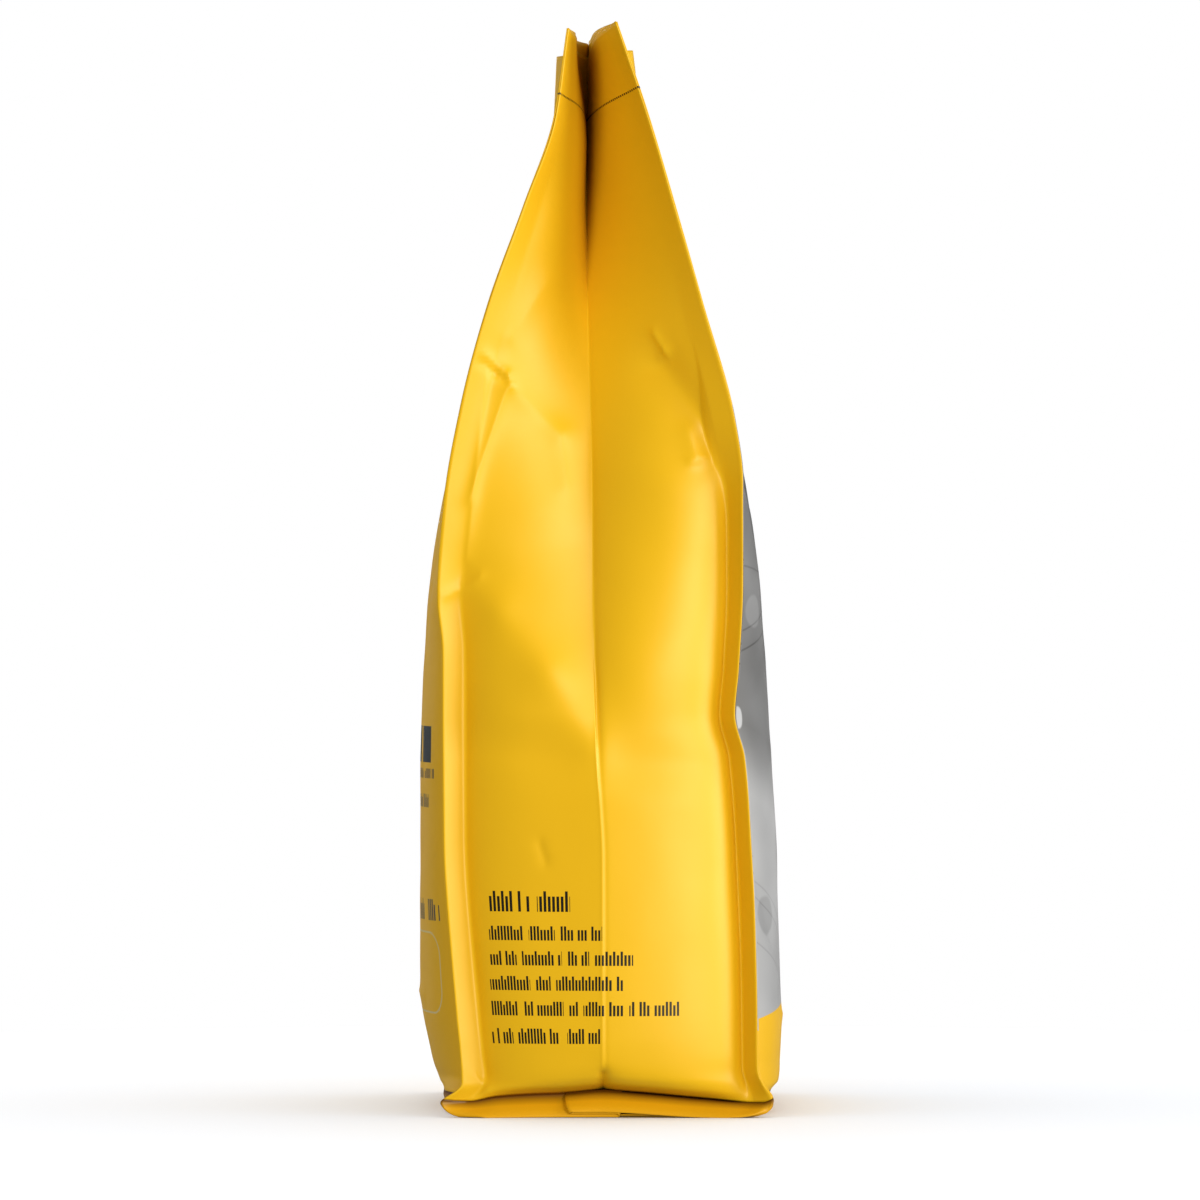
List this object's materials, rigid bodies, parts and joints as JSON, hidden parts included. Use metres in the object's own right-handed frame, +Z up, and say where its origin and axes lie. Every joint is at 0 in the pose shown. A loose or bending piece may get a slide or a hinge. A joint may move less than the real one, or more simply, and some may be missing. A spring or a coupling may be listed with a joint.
{
  "type": "coffee bag",
  "caption": "Filled and sealed flat-bottomed coffee bag with side gussets, welded corner fins and a body that tapers to a flat top seal.",
  "frame": {"origin": "on the floor, under the middle of the bag", "axes": "+Z up towards the top seal, -Y out of the front panel, and X along the panels' width, so that a side gusset faces +X and another -X"},
  "size_m": [0.1504, 0.1108, 0.329],
  "materials": {
    "film": "satin"
  },
  "bodies": {
    "root": {"coffee_bag": "film"}
  },
  "joints": []
}
